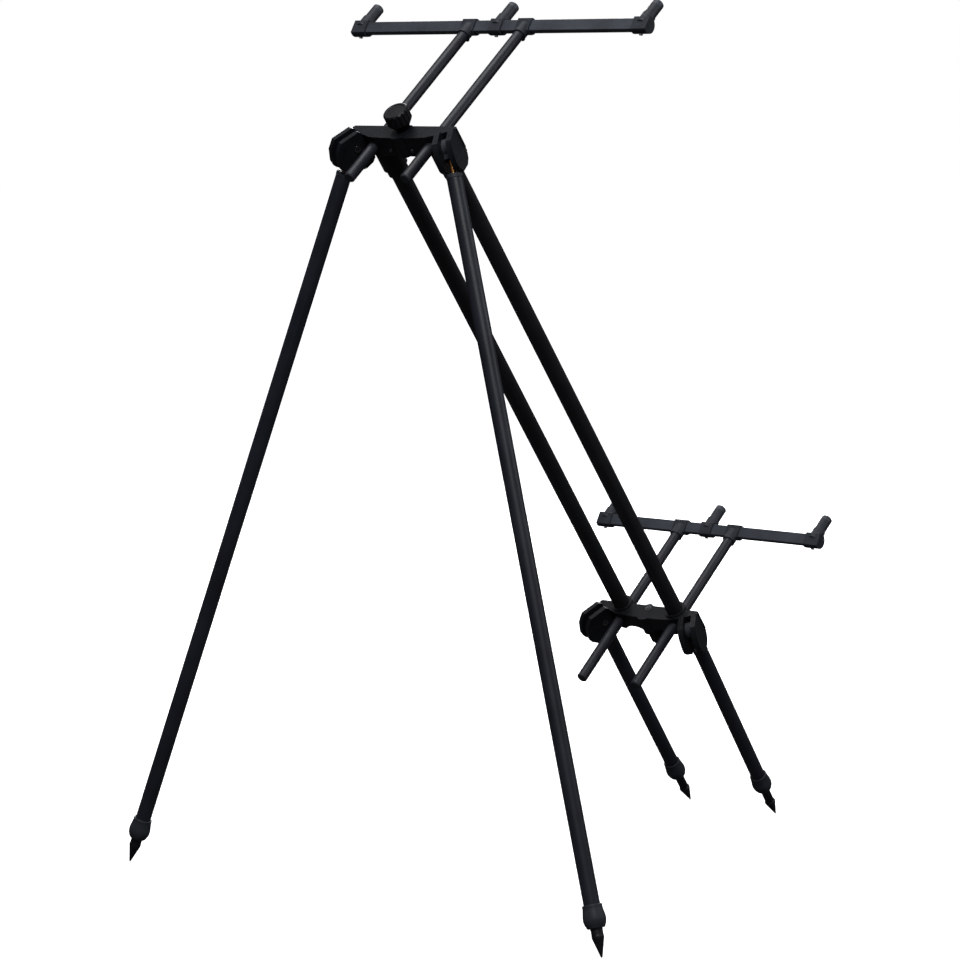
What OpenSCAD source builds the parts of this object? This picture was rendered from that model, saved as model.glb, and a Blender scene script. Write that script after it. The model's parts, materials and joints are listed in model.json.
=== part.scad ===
// High four-legged rod stand: two moulded brackets joined by a pair of sloping tubes,
// four hinged legs and two sliding masts that carry threaded socket bars.
// Millimetres. +X across the stand, +Y towards the low end, +Z up, ground at Z = 0.

/* [Stance] */
// Slope of the main tubes, measured from vertical
lean = 39.4; // [34:0.2:44]
// Height of the upper leg hinges above the ground
head_height = 1036; // [900:1:1100]
// Distance between the two brackets, along the main tubes
bracket_gap = 930; // [860:1:1000]
// Sideways splay of every leg slot
splay = 25.2; // [18:0.2:30]
// Angle between a long leg and the main tubes
long_swing = 47; // [42:0.5:52]
// Angle between a short leg and the main tubes
short_swing = 1.8; // [0.5:0.1:4]
// Inward lean of the short legs and their slots
short_camber = 1.3; // [0:0.1:2]

/* [Tubes] */
// Outside diameter of the two main tubes
spine_d = 25; // [24:0.5:26]
// Outside diameter of the leg tubes
leg_d = 22; // [21:0.5:22]
// Outside diameter of the mast uprights
upright_d = 16; // [15:0.5:16]
// Wall of every round tube
tube_wall = 1.5; // [1.2:0.1:1.8]
// Centre distance between the two main tubes, and between a mast's two uprights
tube_gap = 99.2; // [96:0.2:104]

/* [Brackets] */
// Hinge pins to the middle of the bracket
pivot_x = 85.2; // [84:0.2:90]
// Main tubes behind the hinge pins
spine_n = 22.3; // [21:0.1:24]
// Height of the bridge
bridge_h = 32; // [30:1:34]
// Depth of the bridge
bridge_depth = 26; // [24:1:27]
// Width of the slot a leg knuckle turns in
slot_w = 12.1; // [12.06:0.02:12.2]
// Thickness of each slot cheek
cheek_t = 8; // [7:0.5:8]

/* [Masts] */
// Height of the front bar above the hinge line, along the mast
front_rise = 268.5; // [240:0.5:290]
// Height of the rear bar above the hinge line, along the mast
rear_rise = 207.6; // [180:0.5:240]
// Length of an upright below the hinge line, front mast
front_tail = 62; // [50:1:70]
// Length of an upright below the hinge line, rear mast
rear_tail = 118; // [100:1:130]
// Front mast's uprights below the hinge line, along the main tubes
front_sink = 2; // [0:0.5:3]
// Centre socket to outer socket, front bar
front_reach = 250; // [220:1:260]
// Centre socket to outer socket, rear bar
rear_reach = 195; // [170:1:210]
// Radius of the bar's round side
bar_r = 9.5; // [9:0.1:10]
// Middle of the bar to its flat
bar_flat = 4.5; // [4:0.1:6]

/* [Sockets] */
// Top of a socket above the middle of the bar
socket_h = 48; // [44:1:52]
// Radius of the socket thread
thread_r = 4.76; // [4.5:0.01:5]

/* [Feet] */
// Length of a long leg's steel spike below its collar
long_spike = 38; // [34:1:44]
// Length of a short leg's steel spike below its collar
short_spike = 56; // [46:1:60]
// Height of the foot collar
foot_h = 31; // [30:1:36]

/* [Hidden] */
$fn = 64;

// Colours
tube_black = [0.10, 0.10, 0.11];
moulded_black = [0.16, 0.16, 0.17];
bar_black = [0.20, 0.21, 0.23];
bronze = [0.60, 0.36, 0.16];
steel = [0.45, 0.45, 0.47];
dark_steel = [0.14, 0.13, 0.13];

// Fits: radial gap of a part that slides or turns, and of a part that is fixed
run_gap = 0.06;
seat_gap = 0.05;

// Tubes
spine_r = spine_d / 2;
leg_r = leg_d / 2;
upright_r = upright_d / 2;
tube_x = tube_gap / 2;

// Bracket
half_h = bridge_h / 2;
tower_x = [26, 66];
tower_back = 8;
boss_r = spine_r + 5;
head_socket_len = 34;
rear_rim = 2.5;
spine_top = -front_sink - upright_r - 1.5;
spine_bottom = -half_h + 5;
collar_len = 12;
collar_wall = 2.7;
pad_w = 26;
pad_front = 4;
pad_t = 1.5;
arch_r = 24;
arch_rise = 9;
pocket = [14, 9, 14];
pocket_x = 15;
web_y = 15.5;
web_t = 5.5;
web_low = 24;
web_top = half_h - 1;
cheek_x = slot_w / 2;
cheek_out = cheek_x + cheek_t;
pin_r = 4;
pin_head_r = 4.8;
pin_head_t = 1.5;
pin_end = cheek_out - 2.5;
pin_tool_r = 1.6;
stud_r = 3;
nut_across = 10;
nut_t = 5;
nut_boss_r = 8;
knob_n = 21.5;
knob_r = 18;
knob_neck_r = 10;
knob_flutes = 15;
knob_flute_r = 2.2;
knob_bore = 16;
knob_z = [half_h + pad_t + 0.4, half_h + 12, half_h + 30.5];
screw_x = 19;
screw_z = -5;
screw_r = 1.5;
screw_head_r = 2.6;
screw_drive_r = 1.1;
screw_len = 11;
pin_drive_r = 2;

// Leg, along its own axis from the hinge pin
knuckle_r = 13;
knuckle_t = slot_w - 0.1;
knuckle_end = 16;
knuckle_w = 18;
rod_r = 4.25;
rod_top = 7;
rod_end = 84;
rod_head_t = 4;
leg_top = 37;
bush_lip = 6;
bush_len = 14;
bush_r = leg_r + 0.5;
spring_wire = 1.1;
spring_turns = 5;
spring_steps = 14;
spring_sides = 6;
tip_r = 1;
spike_cone = 28;
spike_r = 8.3;
long_neck_r = 8;
short_neck_r = 7;
spike_shank_r = 5;
spike_shank_len = 14;
foot_top_r = leg_r + 2.3;
foot_mid_r = leg_r + 4.4;
foot_low_r = leg_r + 1.2;
foot_widest = 0.38;
foot_floor = 15;

// Bar
bar_wall = 1.5;
bar_tilt = 20;
sleeve_t = 2.5;
tee_w = 23.5;
socket_w = 21.5;
end_w = 25;
end_cap_t = 3;
tee_boss_r = upright_r + 2;
tee_boss_len = 19;
socket_r = 8.5;
insert_r = 6;
insert_from = 22;
insert_flange = 8;
socket_foot = 20;
// Turn of the socket's round surfaces about their own axis, which moves their seams
seam_turn = 90;
grub_tilt = 40;
tee_screw_drop = 15;
cap_t = 3;
cap_plug = 10;

// Direction of a right-hand leg in the stand's frame, for its swing and camber angles
function leg_dir(swing, camber) =
    let (out = sin(swing) * sin(splay), n = -sin(swing) * cos(splay),
         x = out * cos(camber) - cos(swing) * sin(camber),
         z = -out * sin(camber) - cos(swing) * cos(camber))
    [x, n * cos(lean) - z * sin(lean), n * sin(lean) + z * cos(lean)];
// Length of a leg whose blunt tip just reaches the ground from height h
function leg_len(h, dir) = (h - tip_r * sqrt(1 - dir.z * dir.z)) / -dir.z;

low_height = head_height - bracket_gap * cos(lean);
long_dir = leg_dir(long_swing, 0);
short_dir = leg_dir(short_swing, short_camber);
long_leg = leg_len(head_height, long_dir);
short_leg = leg_len(low_height, short_dir);

// Middle of the stand's depth, so that the frame's origin is under its centre
function across(v, r) = r * sqrt(1 - v * v);
front_ring = long_leg - long_spike - foot_h * foot_widest;
front_edge = long_dir.y * front_ring - across(long_dir.y, foot_mid_r);
rear_edge = bracket_gap * sin(lean) + short_dir.y * short_leg + across(short_dir.y, tip_r);
mid_y = (front_edge + rear_edge) / 2;

// ---- placing ----

// Sloping frame of the stand: origin between the upper hinge pins, Z along the main tubes
module sloped() {
    translate([0, -mid_y, head_height]) rotate([lean, 0, 0]) children();
}
module at_rear() {
    translate([0, 0, -bracket_gap]) children();
}
module both_sides() {
    for (m = [0, 1]) mirror([m, 0, 0]) children();
}
// Right-hand hinge frame: X along the pin, slot open towards -Y
module hinge_frame(camber) {
    translate([pivot_x, 0, 0]) rotate([0, camber, 0]) rotate([0, 0, splay]) children();
}
module leg_frame(side, swing, camber, drop) {
    sloped() translate([0, 0, -drop]) mirror([side < 0 ? 1 : 0, 0, 0])
        hinge_frame(camber) rotate([-swing, 0, 0]) children();
}
// A profile drawn in (Y, Z), extruded along X and centred
module along_x(w) {
    translate([-w / 2, 0, 0]) rotate([90, 0, 90]) linear_extrude(w) children();
}
module along_y(r, y0, y1) {
    translate([0, y1, 0]) rotate([90, 0, 0]) cylinder(r = r, h = y1 - y0);
}
module tube(r, h) {
    difference() {
        cylinder(r = r, h = h);
        translate([0, 0, -1]) cylinder(r = r - tube_wall, h = h + 2);
    }
}

// ---- brackets ----

// Half of the bracket seen along the main tubes
module half_plan() {
    polygon([[-1, 0], [tower_x[0], 0], [tube_x, 2], [tower_x[1] - 4, tower_back - 1.5],
             [tower_x[1] + 2, tower_back], [pivot_x + 4, 17],
             [pivot_x + 7, bridge_depth - 3], [pivot_x + 4, bridge_depth], [-1, bridge_depth]]);
}
// Cheek seen along the hinge pin
module cheek_side() {
    polygon([[18, -26], [18, 14], [12, half_h + 5], [-17, half_h + 6], [-28, 12],
             [-34, -4], [-33, -14], [-22, -27], [0, -33], [12, -31]]);
}
module ear() {
    for (s = [-1, 1]) translate([s * (cheek_x + cheek_t / 2), 0, 0]) along_x(cheek_t) cheek_side();
    translate([-cheek_out, web_y, -web_low]) cube([2 * cheek_out, web_t, web_low + web_top]);
}
// Seat of the clamp knob, with a round nose at the front of the bridge
module knob_pad(side) {
    translate([0, pad_w / 2 - pad_front, side > 0 ? -half_h : -half_h - pad_t])
        linear_extrude(bridge_h + pad_t) {
            circle(d = pad_w);
            translate([-pad_w / 2, 0]) square([pad_w, bridge_depth - pad_w / 2 + pad_front]);
        }
    translate([0, knob_n, -half_h]) cylinder(r = nut_boss_r, h = bridge_h);
}
// side = 1: main tubes enter from below, knob above; side = -1: the other way up
module bracket_body(side) {
    difference() {
        both_sides() {
            translate([0, 0, -half_h]) linear_extrude(bridge_h) half_plan();
            if (side > 0) translate([tube_x, spine_n, -half_h - head_socket_len])
                cylinder(r = boss_r + 0.5, h = head_socket_len + half_h + 4);
            else translate([tube_x, spine_n, -half_h])
                cylinder(r = boss_r - 1, h = bridge_h + rear_rim);
            hinge_frame(side > 0 ? 0 : short_camber) ear();
        }
        // Arches either side of the lower knob
        if (side < 0) both_sides() translate([arch_r, 0, arch_rise - half_h - arch_r])
            along_y(arch_r, -20, 60);
    }
    knob_pad(side);
}
module bracket(side) {
    bore_from = side > 0 ? spine_top - 80 : spine_bottom;
    camber = side > 0 ? 0 : short_camber;
    difference() {
        bracket_body(side);
        both_sides() {
            // Socket for the main tube
            translate([tube_x, spine_n, bore_from]) cylinder(r = spine_r + seat_gap, h = 80);
            // Guide for the mast upright
            translate([tube_x, 0, side > 0 ? -front_sink : 0])
                along_y(upright_r + run_gap, -30, 60);
            // Slot, hinge pin hole and the hole that drives the pin out
            hinge_frame(camber) {
                translate([-cheek_x, -60, -60]) cube([slot_w, 60 + web_y, 120]);
                translate([-40, 0, 0]) rotate([0, 90, 0])
                    cylinder(r = pin_r + seat_gap, h = 40 + pin_end + seat_gap);
                rotate([0, 90, 0]) cylinder(r = pin_tool_r, h = 40);
            }
            // Pocket in the back
            translate([pocket_x, bridge_depth - pocket.y, -3]) cube([pocket.x, 20, pocket.z]);
            // Cover screws
            if (side > 0) translate([screw_x, 0, screw_z]) along_y(screw_r + seat_gap, -1, screw_len + 1);
        }
        // Knob stud and the pocket of its nut
        translate([0, knob_n, -40]) cylinder(r = stud_r + run_gap, h = 80);
        translate([0, knob_n, side > 0 ? -half_h - 1 : half_h - nut_t])
            cylinder(d = (nut_across + 0.3) / cos(30), h = nut_t + 1, $fn = 6);
    }
}
module head_bracket() {
    color(moulded_black) sloped() bracket(1);
}
module rear_bracket() {
    color(moulded_black) sloped() at_rear() bracket(-1);
}
module spine_tube(side) {
    span = bracket_gap + spine_top - spine_bottom;
    color(tube_black) sloped() translate([side * tube_x, spine_n, spine_top - span])
        difference() {
            tube(spine_r, span);
            translate([0, 0, -spine_bottom]) along_y(upright_r + 0.4, -30, 30);
        }
}
module ring(r0, r1, h) {
    difference() {
        cylinder(r = r1, h = h);
        translate([0, 0, -1]) cylinder(r = r0, h = h + 2);
    }
}
module spine_collars() {
    low = -half_h - head_socket_len - collar_len - seat_gap;
    color(moulded_black) sloped() both_sides() translate([tube_x, spine_n, low])
        ring(spine_r + seat_gap, spine_r + collar_wall, collar_len);
}
module pivot_pin() {
    head_x = cheek_out + seat_gap;
    rotate([0, 90, 0]) difference() {
        union() {
            translate([0, 0, -head_x]) cylinder(r = pin_r, h = head_x + pin_end);
            translate([0, 0, -head_x - pin_head_t]) cylinder(r = pin_head_r, h = pin_head_t);
        }
        translate([0, 0, -head_x - pin_head_t - 1]) cylinder(r = pin_drive_r, h = 3, $fn = 6);
    }
}
module pivot_pins() {
    color(steel) sloped() both_sides() {
        hinge_frame(0) pivot_pin();
        at_rear() hinge_frame(short_camber) pivot_pin();
    }
}
module bracket_screws() {
    color(steel) sloped() both_sides() translate([screw_x, 0, screw_z]) difference() {
        union() {
            along_y(screw_r, -0.6, screw_len);
            along_y(screw_head_r, -1.8, -seat_gap);
        }
        along_y(screw_drive_r, -3, -1);
    }
}

// ---- clamp knobs ----

module knob_solid() {
    difference() {
        rotate_extrude() polygon([[0, knob_z[0]], [knob_neck_r, knob_z[0]],
            [knob_neck_r + 1, knob_z[0] + 2], [knob_r - 1.5, knob_z[1] - 1], [knob_r, knob_z[1] + 1],
            [knob_r, knob_z[2] - 2], [knob_r - 2, knob_z[2]], [knob_r - 4, knob_z[2]],
            [knob_r - 5, knob_z[2] - 0.8], [0, knob_z[2] - 0.3]]);
        for (k = [1:knob_flutes]) rotate([0, 0, k * 360 / knob_flutes])
            translate([knob_r + 1, 0, knob_z[1] - 2]) cylinder(r = knob_flute_r, h = 30);
        translate([0, 0, knob_z[0] - 1]) cylinder(r = stud_r + seat_gap, h = knob_bore + 1);
    }
}
module knob_stud_solid() {
    translate([0, 0, -half_h - 1]) cylinder(r = stud_r, h = half_h + knob_z[0] + knob_bore);
}
module head_knob() {
    color(moulded_black) sloped() translate([0, knob_n, 0]) knob_solid();
}
module head_knob_stud() {
    color(steel) sloped() translate([0, knob_n, 0]) knob_stud_solid();
}
module rear_knob() {
    color(moulded_black) sloped() at_rear() translate([0, knob_n, 0])
        rotate([0, 180, 0]) knob_solid();
}
module rear_knob_stud() {
    color(steel) sloped() at_rear() translate([0, knob_n, 0]) rotate([0, 180, 0]) knob_stud_solid();
}
module clamp_nut() {
    difference() {
        cylinder(d = nut_across / cos(30), h = nut_t - 0.3, $fn = 6);
        translate([0, 0, -1]) cylinder(r = stud_r + run_gap, h = nut_t + 2);
    }
}
module clamp_nuts() {
    color(steel) sloped() translate([0, knob_n, 0]) {
        translate([0, 0, -half_h + 0.1]) clamp_nut();
        translate([0, 0, -bracket_gap + half_h - nut_t + 0.2]) clamp_nut();
    }
}

// ---- masts ----

module upright(side, drop, tail, rise) {
    top = rise - bar_r - 0.6;
    color(tube_black) sloped() translate([side * tube_x, top, -drop]) rotate([90, 0, 0])
        tube(upright_r, tail + top);
}
module upright_caps(drop, tail) {
    color(moulded_black) sloped() both_sides() translate([tube_x, -tail, -drop]) rotate([90, 0, 0])
        rotate_extrude() polygon([[0, -cap_plug], [upright_r - tube_wall - seat_gap, -cap_plug],
            [upright_r - tube_wall - seat_gap, seat_gap], [upright_r, seat_gap],
            [upright_r, cap_t - 1.5], [upright_r - 1.5, cap_t], [0, cap_t]]);
}
// D section, grown outwards by grow
module bar_section(grow) {
    difference() {
        circle(r = bar_r + grow);
        rotate([0, 0, bar_tilt]) translate([-20, bar_flat + grow]) square([40, 20]);
    }
}
module bar(reach) {
    span = 2 * (reach + end_w / 2 - end_cap_t) - 0.2;
    along_x(span) difference() {
        bar_section(0);
        bar_section(-bar_wall);
    }
}
module tees() {
    both_sides() translate([tube_x, 0, 0]) {
        difference() {
            union() {
                along_x(tee_w) bar_section(sleeve_t);
                along_y(tee_boss_r, -tee_boss_len, 0);
            }
            along_x(tee_w + 2) bar_section(seat_gap);
            along_y(upright_r + seat_gap, -40, -5);
            translate([0, -tee_screw_drop, -20]) cylinder(r = screw_r + seat_gap, h = 20);
        }
    }
}
module socket(end) {
    w = end == 0 ? socket_w : end_w;
    difference() {
        union() {
            along_x(w) bar_section(sleeve_t);
            rotate([0, seam_turn, 0]) {
                along_y(socket_r, 0, socket_h - insert_flange - seat_gap);
                along_y(socket_r + 1.2, 0, socket_foot);
            }
        }
        if (end == 0) along_x(w + 2) bar_section(seat_gap);
        else translate([-end * (end_cap_t / 2 + 1), 0, 0])
            along_x(w - end_cap_t + 2) bar_section(seat_gap);
        rotate([0, seam_turn, 0]) along_y(insert_r + seat_gap, insert_from - 1, socket_h);
        rotate([grub_tilt, 0, 0]) along_y(screw_r + seat_gap, -20, 0);
    }
}
module socket_insert() {
    difference() {
        union() {
            along_y(insert_r, insert_from, socket_h - 1);
            along_y(socket_r, socket_h - insert_flange, socket_h - 1);
            along_y(socket_r - 1, socket_h - 2, socket_h);
        }
        along_y(thread_r, insert_from - 1, socket_h + 1);
    }
}
module grub_screw(inner, seat) {
    difference() {
        union() {
            along_y(screw_r, -seat - 0.5, -inner);
            along_y(screw_head_r, -seat - 2, -seat);
        }
        along_y(screw_drive_r, -seat - 3, -seat - 1);
    }
}
module front_bar_frame() {
    sloped() translate([0, front_rise, -front_sink]) children();
}
module rear_bar_frame() {
    sloped() at_rear() translate([0, rear_rise, 0]) children();
}
module socket_row(reach) {
    for (k = [-1, 0, 1]) translate([k * reach, 0, 0]) children();
}
module bar_screws(reach) {
    socket_row(reach) rotate([grub_tilt, 0, 0])
        grub_screw(bar_r + 0.1, bar_r + sleeve_t + seat_gap);
    both_sides() translate([tube_x, -tee_screw_drop, 0]) rotate([90, 0, 0])
        grub_screw(upright_r + 0.1, tee_boss_r + seat_gap);
}
module front_bar() {
    color(bar_black) front_bar_frame() bar(front_reach);
}
module rear_bar() {
    color(bar_black) rear_bar_frame() bar(rear_reach);
}
module front_tees() {
    color(bar_black) front_bar_frame() tees();
}
module rear_tees() {
    color(bar_black) rear_bar_frame() tees();
}
module front_socket(k) {
    color(bar_black) front_bar_frame() translate([k * front_reach, 0, 0]) socket(k);
}
module rear_socket(k) {
    color(bar_black) rear_bar_frame() translate([k * rear_reach, 0, 0]) socket(k);
}
module front_socket_inserts() {
    color(bar_black) front_bar_frame() socket_row(front_reach) socket_insert();
}
module rear_socket_inserts() {
    color(bar_black) rear_bar_frame() socket_row(rear_reach) socket_insert();
}
module front_bar_screws() {
    color(steel) front_bar_frame() bar_screws(front_reach);
}
module rear_bar_screws() {
    color(steel) rear_bar_frame() bar_screws(rear_reach);
}

// ---- legs, drawn down their own axis from the hinge pin ----

module knuckle() {
    color(moulded_black) difference() {
        union() {
            rotate([0, 90, 0]) cylinder(r = knuckle_r, h = knuckle_t, center = true);
            translate([-knuckle_t / 2, -knuckle_w / 2, -knuckle_end])
                cube([knuckle_t, knuckle_w, knuckle_end]);
        }
        rotate([0, 90, 0]) cylinder(r = pin_r + run_gap, h = 40, center = true);
        translate([0, 0, -40]) cylinder(r = rod_r + seat_gap, h = 40 - rod_top);
    }
}
module rod() {
    color(bronze) rotate_extrude() polygon([[0, -rod_top - 0.3], [rod_r, -rod_top - 0.3],
        [rod_r, -rod_end + rod_head_t], [leg_r - tube_wall - 0.6, -rod_end + rod_head_t],
        [leg_r - tube_wall - 0.6, -rod_end], [0, -rod_end]]);
}
module bush() {
    inner = leg_r - tube_wall - seat_gap;
    color(moulded_black) rotate_extrude() polygon([[rod_r + run_gap, -leg_top], [bush_r - 1, -leg_top],
        [bush_r, -leg_top - 1], [bush_r, -leg_top - bush_lip], [inner, -leg_top - bush_lip],
        [inner, -leg_top - bush_len], [rod_r + run_gap, -leg_top - bush_len]]);
}
// Round wire swept along a helix
module coil(r, wire, z0, z1, turns, steps, sides) {
    count = turns * steps;
    points = [for (i = [0:count]) let (a = 360 * i / steps, z = z0 + (z1 - z0) * i / count)
        for (j = [0:sides - 1]) let (b = 360 * j / sides, q = r + wire * cos(b))
        [q * cos(a), q * sin(a), z + wire * sin(b)]];
    walls = [for (i = [0:count - 1]) for (j = [0:sides - 1])
        [i * sides + j, (i + 1) * sides + j,
         (i + 1) * sides + (j + 1) % sides, i * sides + (j + 1) % sides]];
    ends = [[for (j = [0:sides - 1]) j], [for (j = [sides - 1:-1:0]) count * sides + j]];
    polyhedron(points, concat(walls, ends));
}
module spring() {
    low = -rod_end + rod_head_t + spring_wire + 0.1;
    high = -leg_top - bush_len - spring_wire - 0.1;
    color(steel) coil((rod_r + leg_r - tube_wall) / 2, spring_wire, low, high,
        spring_turns, spring_steps, spring_sides);
}
module leg_tube(len, spike_len) {
    low = -len + spike_len + foot_floor + 0.1;
    high = -leg_top - bush_lip - seat_gap;
    color(tube_black) translate([0, 0, low]) tube(leg_r, high - low);
}
module foot(len, spike_len) {
    widest = foot_h * foot_widest;
    color(moulded_black) translate([0, 0, -len + spike_len]) difference() {
        rotate_extrude() polygon([[0, 0], [foot_low_r - 1, 0], [foot_low_r, 1.2],
            [foot_mid_r - 1.1, widest - 6], [foot_mid_r - 0.2, widest - 2],
            [foot_mid_r, widest], [foot_mid_r - 0.3, widest + 4],
            [foot_top_r + 0.4, foot_h - 7], [foot_top_r, foot_h - 4],
            [foot_top_r, foot_h - 0.8], [foot_top_r - 0.8, foot_h], [0, foot_h]]);
        translate([0, 0, foot_floor]) cylinder(r = leg_r + seat_gap, h = foot_h);
        translate([0, 0, -1]) cylinder(r = spike_shank_r + seat_gap, h = foot_floor + 2);
    }
}
module spike(len, spike_len, neck_r) {
    color(dark_steel) translate([0, 0, -len]) rotate_extrude() polygon([[0, 0], [tip_r, 0],
        [spike_r, spike_cone - 2], [spike_r, spike_cone], [neck_r, spike_cone + 2],
        [neck_r, spike_len - 3], [spike_r, spike_len - 2],
        [spike_r, spike_len - seat_gap], [spike_shank_r, spike_len - seat_gap],
        [spike_shank_r, spike_len + spike_shank_len], [0, spike_len + spike_shank_len]]);
}
module long_frame(side) {
    leg_frame(side, long_swing, 0, 0) children();
}
module short_frame(side) {
    leg_frame(side, short_swing, short_camber, bracket_gap) children();
}

// ---- drawing ----

head_bracket();
rear_bracket();
spine_tube(-1);  // spine_tube_left
spine_tube(1);  // spine_tube_right
spine_collars();
pivot_pins();
bracket_screws();
head_knob();
head_knob_stud();
rear_knob();
rear_knob_stud();
clamp_nuts();
upright(-1, front_sink, front_tail, front_rise);  // front_upright_left
upright(1, front_sink, front_tail, front_rise);  // front_upright_right
upright(-1, bracket_gap, rear_tail, rear_rise);  // rear_upright_left
upright(1, bracket_gap, rear_tail, rear_rise);  // rear_upright_right
upright_caps(front_sink, front_tail);  // front_upright_caps
upright_caps(bracket_gap, rear_tail);  // rear_upright_caps
front_bar();
rear_bar();
front_tees();
rear_tees();
front_socket(-1);  // front_socket_left
front_socket(0);  // front_socket_centre
front_socket(1);  // front_socket_right
rear_socket(-1);  // rear_socket_left
rear_socket(0);  // rear_socket_centre
rear_socket(1);  // rear_socket_right
front_socket_inserts();
rear_socket_inserts();
front_bar_screws();
rear_bar_screws();
long_frame(-1) knuckle();  // front_left_knuckle
long_frame(-1) rod();  // front_left_rod
long_frame(-1) spring();  // front_left_spring
long_frame(-1) bush();  // front_left_bush
long_frame(-1) leg_tube(long_leg, long_spike);  // front_left_tube
long_frame(-1) foot(long_leg, long_spike);  // front_left_foot
long_frame(-1) spike(long_leg, long_spike, long_neck_r);  // front_left_spike
long_frame(1) knuckle();  // front_right_knuckle
long_frame(1) rod();  // front_right_rod
long_frame(1) spring();  // front_right_spring
long_frame(1) bush();  // front_right_bush
long_frame(1) leg_tube(long_leg, long_spike);  // front_right_tube
long_frame(1) foot(long_leg, long_spike);  // front_right_foot
long_frame(1) spike(long_leg, long_spike, long_neck_r);  // front_right_spike
short_frame(-1) knuckle();  // rear_left_knuckle
short_frame(-1) rod();  // rear_left_rod
short_frame(-1) spring();  // rear_left_spring
short_frame(-1) bush();  // rear_left_bush
short_frame(-1) leg_tube(short_leg, short_spike);  // rear_left_tube
short_frame(-1) foot(short_leg, short_spike);  // rear_left_foot
short_frame(-1) spike(short_leg, short_spike, short_neck_r);  // rear_left_spike
short_frame(1) knuckle();  // rear_right_knuckle
short_frame(1) rod();  // rear_right_rod
short_frame(1) spring();  // rear_right_spring
short_frame(1) bush();  // rear_right_bush
short_frame(1) leg_tube(short_leg, short_spike);  // rear_right_tube
short_frame(1) foot(short_leg, short_spike);  // rear_right_foot
short_frame(1) spike(short_leg, short_spike, short_neck_r);  // rear_right_spike
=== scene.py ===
"""Looks of the high rod stand: anodised tubes, moulded fittings, bronze rods and steel spikes."""
import json
import math

import bpy
from mathutils import Matrix, Vector


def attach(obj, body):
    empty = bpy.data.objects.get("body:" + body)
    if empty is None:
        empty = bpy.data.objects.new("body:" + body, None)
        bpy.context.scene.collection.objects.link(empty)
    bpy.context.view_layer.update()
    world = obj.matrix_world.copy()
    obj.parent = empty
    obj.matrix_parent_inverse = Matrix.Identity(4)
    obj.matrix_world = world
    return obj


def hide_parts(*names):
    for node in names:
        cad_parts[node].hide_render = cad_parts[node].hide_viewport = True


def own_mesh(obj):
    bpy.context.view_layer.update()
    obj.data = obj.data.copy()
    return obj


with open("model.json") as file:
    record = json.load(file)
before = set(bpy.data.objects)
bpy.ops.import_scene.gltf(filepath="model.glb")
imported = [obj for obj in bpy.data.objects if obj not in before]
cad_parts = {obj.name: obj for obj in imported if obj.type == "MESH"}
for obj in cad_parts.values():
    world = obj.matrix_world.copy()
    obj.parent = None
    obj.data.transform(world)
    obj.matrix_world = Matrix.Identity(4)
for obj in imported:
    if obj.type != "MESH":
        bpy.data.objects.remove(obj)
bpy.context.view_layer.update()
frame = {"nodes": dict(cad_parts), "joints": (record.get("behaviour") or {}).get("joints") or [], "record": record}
SLOT = {part["node"]: part["material_slot"] for part in frame["record"]["subparts"]}
JOINT = {joint["name"]: joint for joint in frame["joints"]}
MOUNTS = {mount["name"]: mount for mount in frame["record"]["mounts"]}

# Axes of the stand, from the frame: along the bars, along the masts and along the main tubes
ACROSS = Vector((1, 0, 0))
UP_MAST = Vector(JOINT["front_mast_slide"]["axis"])
UP_SPINE = ACROSS.cross(UP_MAST)

# Photograph's viewing angle
CAM_AZIMUTH = math.radians(38.59)
CAM_ELEVATION = math.radians(5.94)
CAM_ROLL = math.radians(0.75)
CAM_DISTANCE = 4.497
CAM_AIM = Vector((0.1184, -0.3352, 0.5881))
CAM_LENS = 124.2
CAM_SENSOR = 36.0

# Studio: floor tone in reflections, glow that keeps the floor pale, sky low and high,
# lights (name, place, size, watts)
FLOOR_BOUNCE = (0.05, 0.05, 0.052)
FLOOR_GLOW = 0.70
SKY_LOW = (0.012, 0.012, 0.013)
SKY_HIGH = (0.26, 0.27, 0.30)
LIGHT_AIM = (0.0, 0.0, 0.6)
LIGHTS = (
    ("key", (2.2, -3.2, 4.2), 2.2, 150),
    ("top", (-0.4, -0.6, 4.4), 2.6, 70),
    ("rim", (3.4, 2.0, 2.8), 2.0, 30),
    ("back", (-2.6, 3.6, 2.8), 2.4, 170),
)


# ---- material building blocks ----

def new_material(name):
    mat = bpy.data.materials.new(name)
    mat.use_nodes = True
    tree = mat.node_tree
    return mat, tree, tree.nodes["Principled BSDF"]


def math_node(tree, operation, a, b=None):
    node = tree.nodes.new("ShaderNodeMath")
    node.operation = operation
    for socket, value in zip(node.inputs, (a, b)):
        if value is None:
            continue
        if isinstance(value, (int, float)):
            socket.default_value = value
        else:
            tree.links.new(value, socket)
    return node.outputs[0]


def remap(tree, value, low, high, to_low, to_high):
    node = tree.nodes.new("ShaderNodeMapRange")
    tree.links.new(value, node.inputs["Value"])
    node.inputs["From Min"].default_value = low
    node.inputs["From Max"].default_value = high
    node.inputs["To Min"].default_value = to_low
    node.inputs["To Max"].default_value = to_high
    return node.outputs["Result"]


def mix_colour(tree, factor, first, second):
    node = tree.nodes.new("ShaderNodeMix")
    node.data_type = "RGBA"
    tree.links.new(factor, node.inputs[0])
    for socket, value in ((node.inputs[6], first), (node.inputs[7], second)):
        if isinstance(value, tuple):
            socket.default_value = (*value, 1)
        else:
            tree.links.new(value, socket)
    return node.outputs[2]


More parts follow.
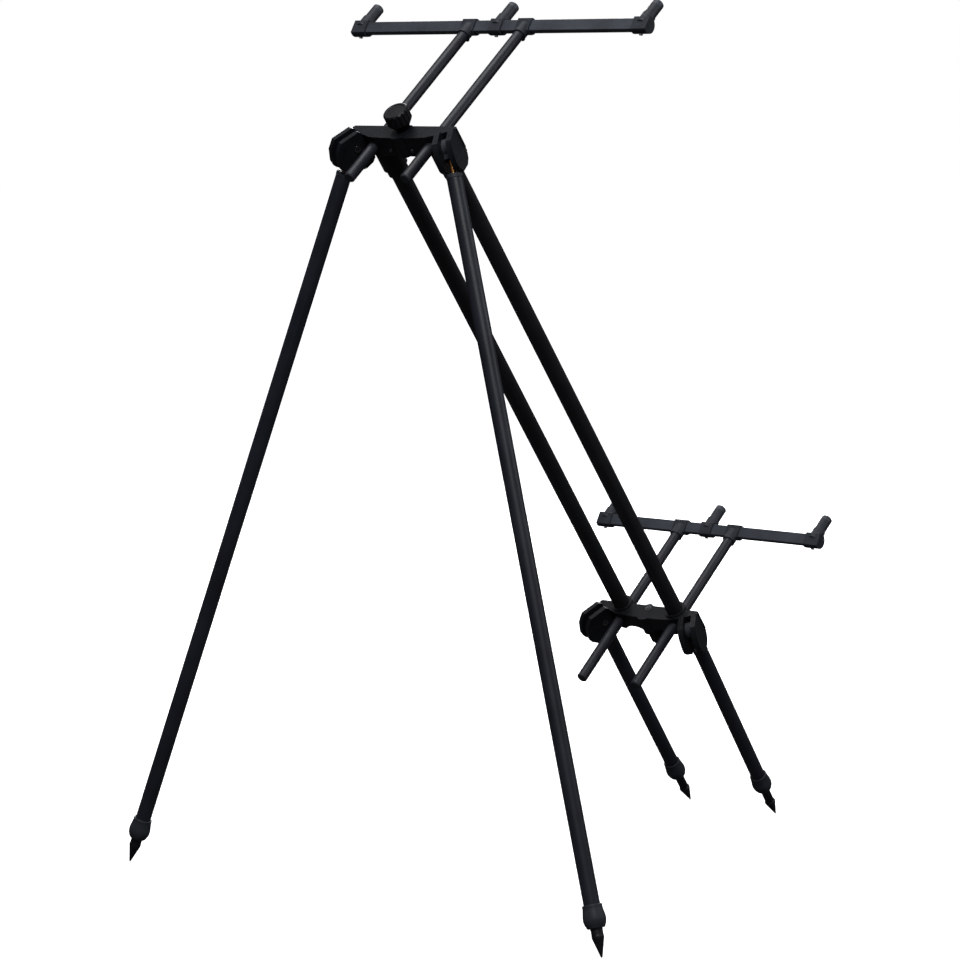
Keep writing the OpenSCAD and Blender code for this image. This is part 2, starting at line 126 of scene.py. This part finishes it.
def place(tree, along=None, stretch=1.0):
    """Texture position that rides with the piece; with along, stretched that many times that way."""
    coord = tree.nodes.new("ShaderNodeTexCoord")
    if along is None:
        return coord.outputs["Object"]
    mapping = tree.nodes.new("ShaderNodeMapping")
    mapping.vector_type = "TEXTURE"
    mapping.inputs["Rotation"].default_value = along.to_track_quat("Z", "Y").to_euler()
    mapping.inputs["Scale"].default_value = (1, 1, stretch)
    tree.links.new(coord.outputs["Object"], mapping.inputs["Vector"])
    return mapping.outputs["Vector"]


def noise(tree, vector, scale, detail=4.0, rough=0.55):
    node = tree.nodes.new("ShaderNodeTexNoise")
    node.inputs["Scale"].default_value = scale
    node.inputs["Detail"].default_value = detail
    node.inputs["Roughness"].default_value = rough
    tree.links.new(vector, node.inputs["Vector"])
    return node.outputs["Fac"]


def edge_wear(tree, radius, vector, patch_scale):
    """0 on flats, up to 1 on worn outer edges, broken up in patches."""
    bevel = tree.nodes.new("ShaderNodeBevel")
    bevel.samples = 4
    bevel.inputs["Radius"].default_value = radius
    geometry = tree.nodes.new("ShaderNodeNewGeometry")
    dot = tree.nodes.new("ShaderNodeVectorMath")
    dot.operation = "DOT_PRODUCT"
    tree.links.new(bevel.outputs["Normal"], dot.inputs[0])
    tree.links.new(geometry.outputs["Normal"], dot.inputs[1])
    edge = remap(tree, dot.outputs["Value"], 0.995, 0.86, 0.0, 1.0)
    patch = remap(tree, noise(tree, vector, patch_scale), 0.42, 0.62, 0.15, 1.0)
    return math_node(tree, "MULTIPLY", edge, patch)


def bump(tree, bsdf, layers):
    """Layers are (height, strength, distance), the coarsest first."""
    normal = None
    for height, strength, distance in layers:
        node = tree.nodes.new("ShaderNodeBump")
        node.inputs["Strength"].default_value = strength
        node.inputs["Distance"].default_value = distance
        tree.links.new(height, node.inputs["Height"])
        if normal is not None:
            tree.links.new(normal, node.inputs["Normal"])
        normal = node.outputs["Normal"]
    tree.links.new(normal, bsdf.inputs["Normal"])


# ---- materials ----

# Rubbed edges: how much paler than the finish; strength of the reflections of tubes and mouldings
WEAR = 2.6
TUBE_GLOSS = 0.30
MOULDED_GLOSS = 0.20
# Stretch of turning marks along a turned part
TURNED = 0.04


def anodised(name, colour, along, rough):
    """Black anodised drawn tube: die lines along it, faint cloudiness and rubbed edges."""
    mat, tree, bsdf = new_material(name)
    lines = noise(tree, place(tree, along, 90.0), 900.0, 5.0, 0.6)
    streaks = noise(tree, place(tree, along, 14.0), 160.0, 3.0)
    cloud = noise(tree, place(tree), 22.0, 4.0)
    scuffs = remap(tree, noise(tree, place(tree, along, 5.0), 75.0, 6.0, 0.7), 0.62, 0.74, 0.0, 1.0)
    dark = tuple(c * 0.72 for c in colour)
    light = tuple(c * 1.30 for c in colour)
    wear = tuple(c * WEAR + 0.008 for c in colour)
    base = mix_colour(tree, remap(tree, cloud, 0.3, 0.7, 0.0, 1.0), dark, light)
    bright = tuple(c * 1.8 for c in colour)
    base = mix_colour(tree, remap(tree, lines, 0.45, 0.75, 0.0, 0.35), base, bright)
    base = mix_colour(tree, math_node(tree, "MULTIPLY", scuffs, 0.25), base, wear)
    worn = edge_wear(tree, 0.0006, place(tree), 60.0)
    base = mix_colour(tree, math_node(tree, "MULTIPLY", worn, 0.55), base, wear)
    tree.links.new(base, bsdf.inputs["Base Color"])
    roughness = math_node(tree, "ADD", remap(tree, streaks, 0.3, 0.7, rough - 0.05, rough + 0.06),
                          math_node(tree, "MULTIPLY", scuffs, 0.10))
    tree.links.new(roughness, bsdf.inputs["Roughness"])
    bsdf.inputs["Metallic"].default_value = 0.0
    bsdf.inputs["Specular IOR Level"].default_value = TUBE_GLOSS
    bump(tree, bsdf, [(streaks, 0.10, 0.0002), (lines, 0.22, 0.00006)])
    return mat


def moulded(name, colour, rough, grain):
    """Glass-filled moulding: spark-eroded grain, flow marks and polished, slightly paler edges."""
    mat, tree, bsdf = new_material(name)
    spot = place(tree)
    skin = noise(tree, spot, grain, 3.0, 0.65)
    flow = noise(tree, spot, 45.0, 4.0)
    wear = tuple(c * WEAR + 0.008 for c in colour)
    dust = remap(tree, noise(tree, spot, 320.0, 5.0, 0.7), 0.60, 0.72, 0.0, 1.0)
    base = mix_colour(tree, remap(tree, flow, 0.3, 0.7, 0.0, 1.0),
                      tuple(c * 0.75 for c in colour), tuple(c * 1.25 for c in colour))
    base = mix_colour(tree, math_node(tree, "MULTIPLY", dust, 0.18), base, wear)
    worn = edge_wear(tree, 0.0008, spot, 75.0)
    base = mix_colour(tree, math_node(tree, "MULTIPLY", worn, 0.60), base, wear)
    tree.links.new(base, bsdf.inputs["Base Color"])
    roughness = math_node(tree, "SUBTRACT", remap(tree, flow, 0.3, 0.7, rough - 0.04, rough + 0.07),
                          math_node(tree, "MULTIPLY", worn, 0.12))
    tree.links.new(roughness, bsdf.inputs["Roughness"])
    bsdf.inputs["Specular IOR Level"].default_value = MOULDED_GLOSS
    bump(tree, bsdf, [(flow, 0.05, 0.0006), (skin, 0.35, 0.00012)])
    return mat


def metal(name, colour, rough, grain_along, tint):
    """Bare or plated metal with turning marks, spotting and small bright nicks."""
    mat, tree, bsdf = new_material(name)
    spot = place(tree)
    marks = noise(tree, place(tree, grain_along, TURNED) if grain_along else spot, 700.0, 4.0)
    spots = noise(tree, spot, 130.0, 5.0, 0.65)
    second = tint or tuple(c * 0.6 for c in colour)
    base = mix_colour(tree, remap(tree, spots, 0.35, 0.68, 0.0, 1.0), colour, second)
    worn = edge_wear(tree, 0.0005, spot, 120.0)
    nick = tuple(min(1, c * 2.2) for c in colour)
    base = mix_colour(tree, math_node(tree, "MULTIPLY", worn, 0.6), base, nick)
    tree.links.new(base, bsdf.inputs["Base Color"])
    tree.links.new(remap(tree, marks, 0.3, 0.7, rough - 0.08, rough + 0.10), bsdf.inputs["Roughness"])
    bsdf.inputs["Metallic"].default_value = 1.0
    bump(tree, bsdf, [(spots, 0.06, 0.0003), (marks, 0.20, 0.00008)])
    return mat


def leg_axis(node):
    return Vector(JOINT["_".join(node.split("_")[:2]) + "_pull"]["axis"])


# Slot: (maker, colour, roughness, what the grain follows, second colour or grain size)
FINISH = {
    "leg": (anodised, (0.0120, 0.0130, 0.0190), 0.42, "leg", None),
    "spine": (anodised, (0.0075, 0.0078, 0.0095), 0.48, UP_SPINE, None),
    "upright": (anodised, (0.0130, 0.0142, 0.0195), 0.42, UP_MAST, None),
    "bar": (anodised, (0.0330, 0.0375, 0.0470), 0.46, ACROSS, None),
    "bracket": (moulded, (0.0052, 0.0060, 0.0078), 0.44, None, 1500.0),
    "fitting": (moulded, (0.0240, 0.0270, 0.0340), 0.50, None, 1500.0),
    "knob": (moulded, (0.0058, 0.0062, 0.0076), 0.42, None, 1900.0),
    "bronze": (metal, (0.72, 0.36, 0.13), 0.30, "leg", (0.50, 0.22, 0.07)),
    "spike": (metal, (0.052, 0.053, 0.060), 0.44, "leg", (0.036, 0.034, 0.038)),
    "steel": (metal, (0.16, 0.16, 0.17), 0.36, None, None),
    "spring": (metal, (0.55, 0.55, 0.57), 0.28, None, None),
}
materials = {}


def material_for(node):
    """One material per slot, and one per leg piece where the grain follows a leg."""
    kind = SLOT[node]
    maker, colour, rough, along, extra = FINISH[kind]
    key = kind + "_" + node if along == "leg" else kind
    if key not in materials:
        if along == "leg":
            along = leg_axis(node)
        if maker is anodised:
            materials[key] = anodised(key, colour, along, rough)
        elif maker is moulded:
            materials[key] = moulded(key, colour, rough, extra)
        else:
            materials[key] = metal(key, colour, rough, along, extra)
    return materials[key]


# ---- finishing the CAD nodes ----

# Rounding of each slot's sharp edges, and the angle from which an edge is sharp
EDGE = {"bracket": 0.0009, "knob": 0.0006, "fitting": 0.0006, "steel": 0.0002, "spike": 0.0003,
        "bar": 0.0003, "spine": 0.0003, "leg": 0.0003, "upright": 0.0003, "bronze": 0.0002}
EDGE_ANGLE = math.radians(32)
WELD = 0.00001


def finish_node(node, obj):
    """Welds the imported mesh, rounds its sharp edges and shades it smooth between them."""
    obj.data.materials.clear()
    obj.data.materials.append(material_for(node))
    for polygon in obj.data.polygons:
        polygon.use_smooth = True
    weld = obj.modifiers.new("weld", "WELD")
    weld.merge_threshold = WELD
    width = EDGE.get(SLOT[node])
    if width:
        edge = obj.modifiers.new("edge", "BEVEL")
        edge.width = width
        edge.segments = 3
        edge.limit_method = "ANGLE"
        edge.angle_limit = EDGE_ANGLE
        edge.use_clamp_overlap = True
        edge.harden_normals = True
        edge.miter_outer = "MITER_ARC"
    normals = obj.modifiers.new("normals", "WEIGHTED_NORMAL")
    normals.keep_sharp = True


for node_name, node_object in frame["nodes"].items():
    finish_node(node_name, node_object)


# ---- thread ridges inside the six sockets ----

THREAD_RADIUS = 0.00476
THREAD_RIDGE = 0.00032
THREAD_PITCH = 0.00127
THREAD_DEPTH = 0.018
THREAD_STEPS = 20
THREAD_SINK = 0.00004


def build_thread(name, mouth, axis, body):
    """A fine three-sided ridge wound down the socket's bore from just inside its mouth."""
    turn = axis.to_track_quat("Z", "Y").to_matrix()
    count = int(THREAD_DEPTH / THREAD_PITCH * THREAD_STEPS)
    root, crest, half = THREAD_RADIUS + THREAD_SINK, THREAD_RADIUS - THREAD_RIDGE, 0.4 * THREAD_PITCH
    section = ((root, -half), (crest, 0.0), (root, half))
    points, faces = [], []
    for i in range(count + 1):
        angle = 2 * math.pi * i / THREAD_STEPS
        down = -THREAD_PITCH * (1.0 + i / THREAD_STEPS)
        for radius, rise in section:
            point = Vector((radius * math.cos(angle), radius * math.sin(angle), down + rise))
            points.append(turn @ point)
    for i in range(count):
        for j in range(2):
            a = 3 * i + j
            faces.append((a, a + 1, a + 4, a + 3))
    mesh = bpy.data.meshes.new(name)
    mesh.from_pydata(points, [], faces)
    mesh.update()
    for polygon in mesh.polygons:
        polygon.use_smooth = True
    obj = bpy.data.objects.new(name, mesh)
    obj.location = mouth
    bpy.context.scene.collection.objects.link(obj)
    obj.data.materials.append(material_for(body.replace("_mast", "_socket_inserts")))
    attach(obj, body)


for mount_name, mount in MOUNTS.items():
    build_thread("thread_" + mount_name, Vector(mount["pos_m"]), Vector(mount["axis"]),
                 mount_name.split("_")[0] + "_mast")


# ---- leg springs, wound with closed end turns ----

SPRING_TOP = 0.0512
SPRING_FOOT = 0.0799
SPRING_RADIUS = 0.006875
SPRING_WIRE = 0.00095
SPRING_TURNS = 8
SPRING_CLOSED = 1.2
SPRING_STEPS = 24
SPRING_SIDES = 8


def coil_height(turn):
    """How far down the spring a turn lies: touching turns at both ends and an even pitch between them."""
    first, last = SPRING_TOP + SPRING_WIRE, SPRING_FOOT - SPRING_WIRE
    tight = 2.05 * SPRING_WIRE
    open_pitch = (last - first - 2 * SPRING_CLOSED * tight) / (SPRING_TURNS - 2 * SPRING_CLOSED)
    if turn < SPRING_CLOSED:
        return first + turn * tight
    if turn > SPRING_TURNS - SPRING_CLOSED:
        return last - (SPRING_TURNS - turn) * tight
    return first + SPRING_CLOSED * tight + (turn - SPRING_CLOSED) * open_pitch


def build_spring(leg):
    """Spring round a leg's rod, standing on the rod's head."""
    down = Vector(JOINT[leg + "_pull"]["axis"])
    pin = Vector(JOINT[leg + "_fold"]["pos_m"])
    turn = down.to_track_quat("Z", "Y").to_matrix()
    count = SPRING_TURNS * SPRING_STEPS
    points, faces = [], []
    for i in range(count + 1):
        angle = 2 * math.pi * i / SPRING_STEPS
        height = coil_height(i / SPRING_STEPS)
        for j in range(SPRING_SIDES):
            around = 2 * math.pi * j / SPRING_SIDES
            radius = SPRING_RADIUS + SPRING_WIRE * math.cos(around)
            drop = height + SPRING_WIRE * math.sin(around)
            point = Vector((radius * math.cos(angle), radius * math.sin(angle), drop))
            points.append(pin + turn @ point)
    for i in range(count):
        for j in range(SPRING_SIDES):
            k = (j + 1) % SPRING_SIDES
            near, far = i * SPRING_SIDES, (i + 1) * SPRING_SIDES
            faces.append((near + j, near + k, far + k, far + j))
    last = count * SPRING_SIDES
    faces.append(tuple(reversed(range(SPRING_SIDES))))
    faces.append(tuple(range(last, last + SPRING_SIDES)))
    mesh = bpy.data.meshes.new(leg + "_coil")
    mesh.from_pydata(points, [], faces)
    mesh.update()
    for polygon in mesh.polygons:
        polygon.use_smooth = len(polygon.vertices) == 4
    obj = bpy.data.objects.new(leg + "_coil", mesh)
    bpy.context.scene.collection.objects.link(obj)
    mesh.materials.append(material_for(leg + "_spring"))
    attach(obj, leg + "_hinge")
    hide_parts(leg + "_spring")
    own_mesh(obj)


for leg_name in ("front_left", "front_right", "rear_left", "rear_right"):
    build_spring(leg_name)


# ---- stage ----

def camera_only(tree, seen, otherwise):
    """One value for what the camera sees directly and another for light and reflections."""
    path = tree.nodes.new("ShaderNodeLightPath")
    return mix_colour(tree, path.outputs["Is Camera Ray"], otherwise, seen)


def build_floor():
    """Pale floor that fades into the white surroundings away from the stand."""
    bpy.ops.mesh.primitive_plane_add(size=80, location=(0, 0, 0))
    floor = bpy.context.object
    floor.name = "floor"
    mat, tree, bsdf = new_material("floor")
    tone = remap(tree, noise(tree, place(tree), 3.0), 0.3, 0.7, 0.0, 1.0)
    pale = mix_colour(tree, tone, (0.84, 0.84, 0.845), (0.86, 0.86, 0.865))
    tree.links.new(camera_only(tree, pale, FLOOR_BOUNCE), bsdf.inputs["Base Color"])
    bsdf.inputs["Roughness"].default_value = 0.95
    bsdf.inputs["Specular IOR Level"].default_value = 0.0
    geometry = tree.nodes.new("ShaderNodeNewGeometry")
    reach = tree.nodes.new("ShaderNodeVectorMath")
    reach.operation = "LENGTH"
    tree.links.new(geometry.outputs["Position"], reach.inputs[0])
    glow = remap(tree, reach.outputs["Value"], 0.6, 3.0, FLOOR_GLOW, 1.0)
    shade = tree.nodes.new("ShaderNodeCombineColor")
    for channel in shade.inputs:
        tree.links.new(glow, channel)
    tree.links.new(camera_only(tree, shade.outputs[0], (0.0, 0.0, 0.0)), bsdf.inputs["Emission Color"])
    bsdf.inputs["Emission Strength"].default_value = 1.0
    floor.data.materials.append(mat)


def area_light(name, position, target, size, power):
    light = bpy.data.lights.new(name, "AREA")
    light.shape = "DISK"
    light.size = size
    light.energy = power
    obj = bpy.data.objects.new(name, light)
    obj.location = position
    obj.rotation_euler = (Vector(target) - Vector(position)).to_track_quat("-Z", "Y").to_euler()
    bpy.context.scene.collection.objects.link(obj)


def build_lights():
    """Soft light from above; white surroundings for the camera and a dim sky for everything else."""
    for name, position, size, power in LIGHTS:
        area_light(name, position, LIGHT_AIM, size, power)
    world = bpy.data.worlds.new("studio")
    world.use_nodes = True
    tree = world.node_tree
    coord = tree.nodes.new("ShaderNodeTexCoord")
    split = tree.nodes.new("ShaderNodeSeparateXYZ")
    tree.links.new(coord.outputs["Generated"], split.inputs[0])
    height = remap(tree, split.outputs["Z"], -0.1, 0.9, 0.0, 1.0)
    sky = mix_colour(tree, height, SKY_LOW, SKY_HIGH)
    tree.links.new(camera_only(tree, (1.0, 1.0, 1.0), sky), tree.nodes["Background"].inputs["Color"])
    bpy.context.scene.world = world
    bpy.context.scene.view_settings.view_transform = "Standard"


def build_camera():
    back = Vector((math.sin(CAM_AZIMUTH) * math.cos(CAM_ELEVATION),
                   -math.cos(CAM_AZIMUTH) * math.cos(CAM_ELEVATION), math.sin(CAM_ELEVATION)))
    camera = bpy.data.cameras.new("camera")
    camera.lens = CAM_LENS
    camera.sensor_width = CAM_SENSOR
    obj = bpy.data.objects.new("camera", camera)
    obj.location = CAM_AIM + back * CAM_DISTANCE
    turn = back.to_track_quat("Z", "Y").to_matrix().to_4x4()
    obj.rotation_euler = (turn @ Matrix.Rotation(CAM_ROLL, 4, "Z")).to_euler()
    bpy.context.scene.collection.objects.link(obj)
    bpy.context.scene.camera = obj


build_floor()
build_lights()
build_camera()

bpy.context.view_layer.update()
